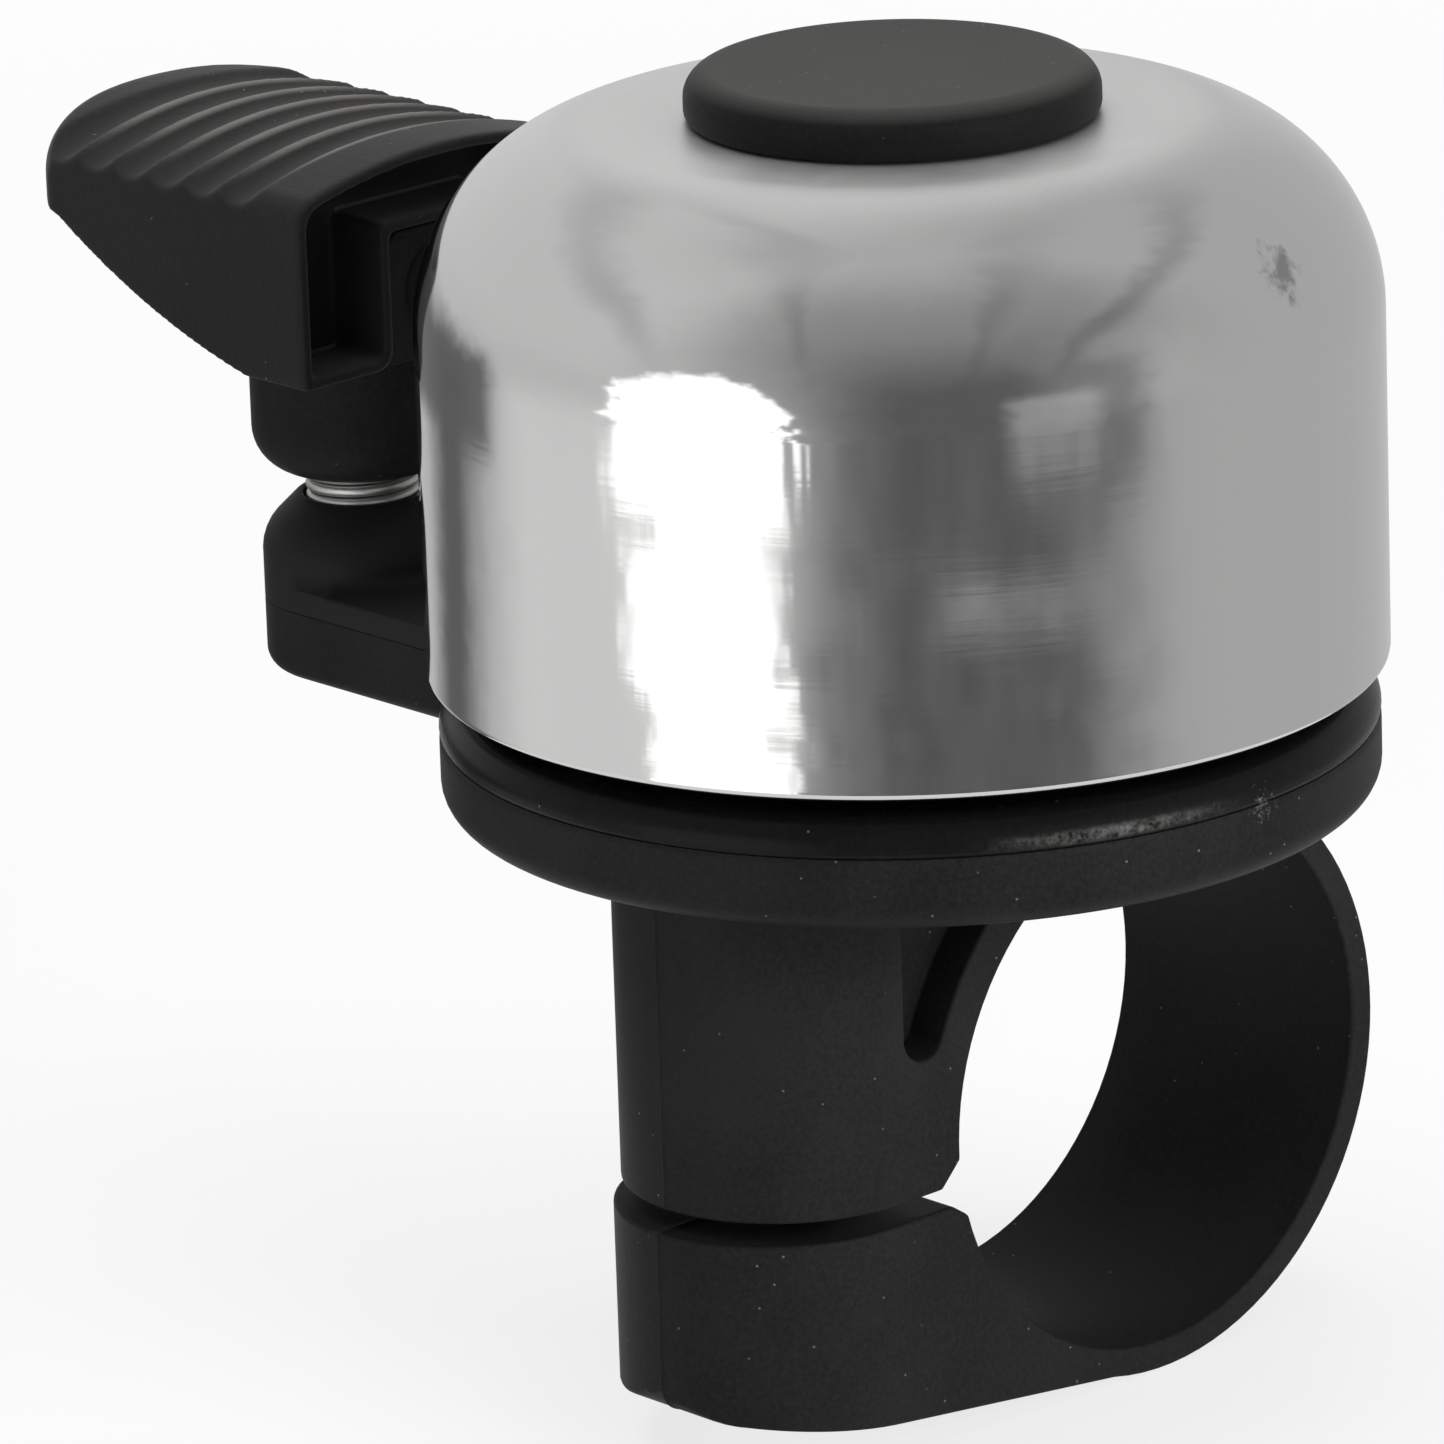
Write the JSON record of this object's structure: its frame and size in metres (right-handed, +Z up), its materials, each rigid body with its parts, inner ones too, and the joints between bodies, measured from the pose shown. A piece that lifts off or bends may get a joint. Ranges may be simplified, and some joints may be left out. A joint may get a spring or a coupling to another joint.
{
  "type": "bicycle bell",
  "caption": "Handlebar bell: polished metal dome with a dark cap on a moulded base, a strap clamp below it, and a ribbed thumb striker standing on a coil spring at one side.",
  "frame": {"origin": "centre of the clamp bore, on the handlebar's axis", "axes": "+X along the handlebar away from the striker, -Y towards the clamp screw and the front of the bell, +Z up through the dome"},
  "size_m": [0.0625, 0.0383, 0.0543],
  "materials": {
    "moulded_black": "fine matte moulded surface",
    "soft_washer": "plain soft washer",
    "polished_dome": "mirror polish",
    "plated_steel": "bright zinc plate",
    "cap_black": "satin moulded surface",
    "striker_black": "satin moulded surface",
    "hammer_steel": "turned steel",
    "cover_black": "soft matte moulded surface",
    "spring_steel": "drawn spring wire"
  },
  "bodies": {
    "base": {"clamp_body": "moulded_black", "base_plate": "moulded_black", "dome_seat_washer": "soft_washer", "bell_dome": "polished_dome", "dome_washer": "plated_steel", "dome_screw": "plated_steel", "top_cap": "cap_black", "clamp_screw": "plated_steel", "clamp_nut": "plated_steel", "striker_spring": "spring_steel"},
    "striker": {"striker_core": "striker_black", "hammer": "hammer_steel", "thumb_cover": "cover_black"}
  },
  "joints": [
    {"name": "striker_hinge", "type": "hinge", "parent": "base", "child": "striker", "pos_m": [-0.0293, -0.0096, 0.0204], "axis": [0, 1, 0], "range_deg": [-20, 6], "stiffness_Nm_per_rad": 0.15, "deforming": ["striker_spring"]}
  ]
}
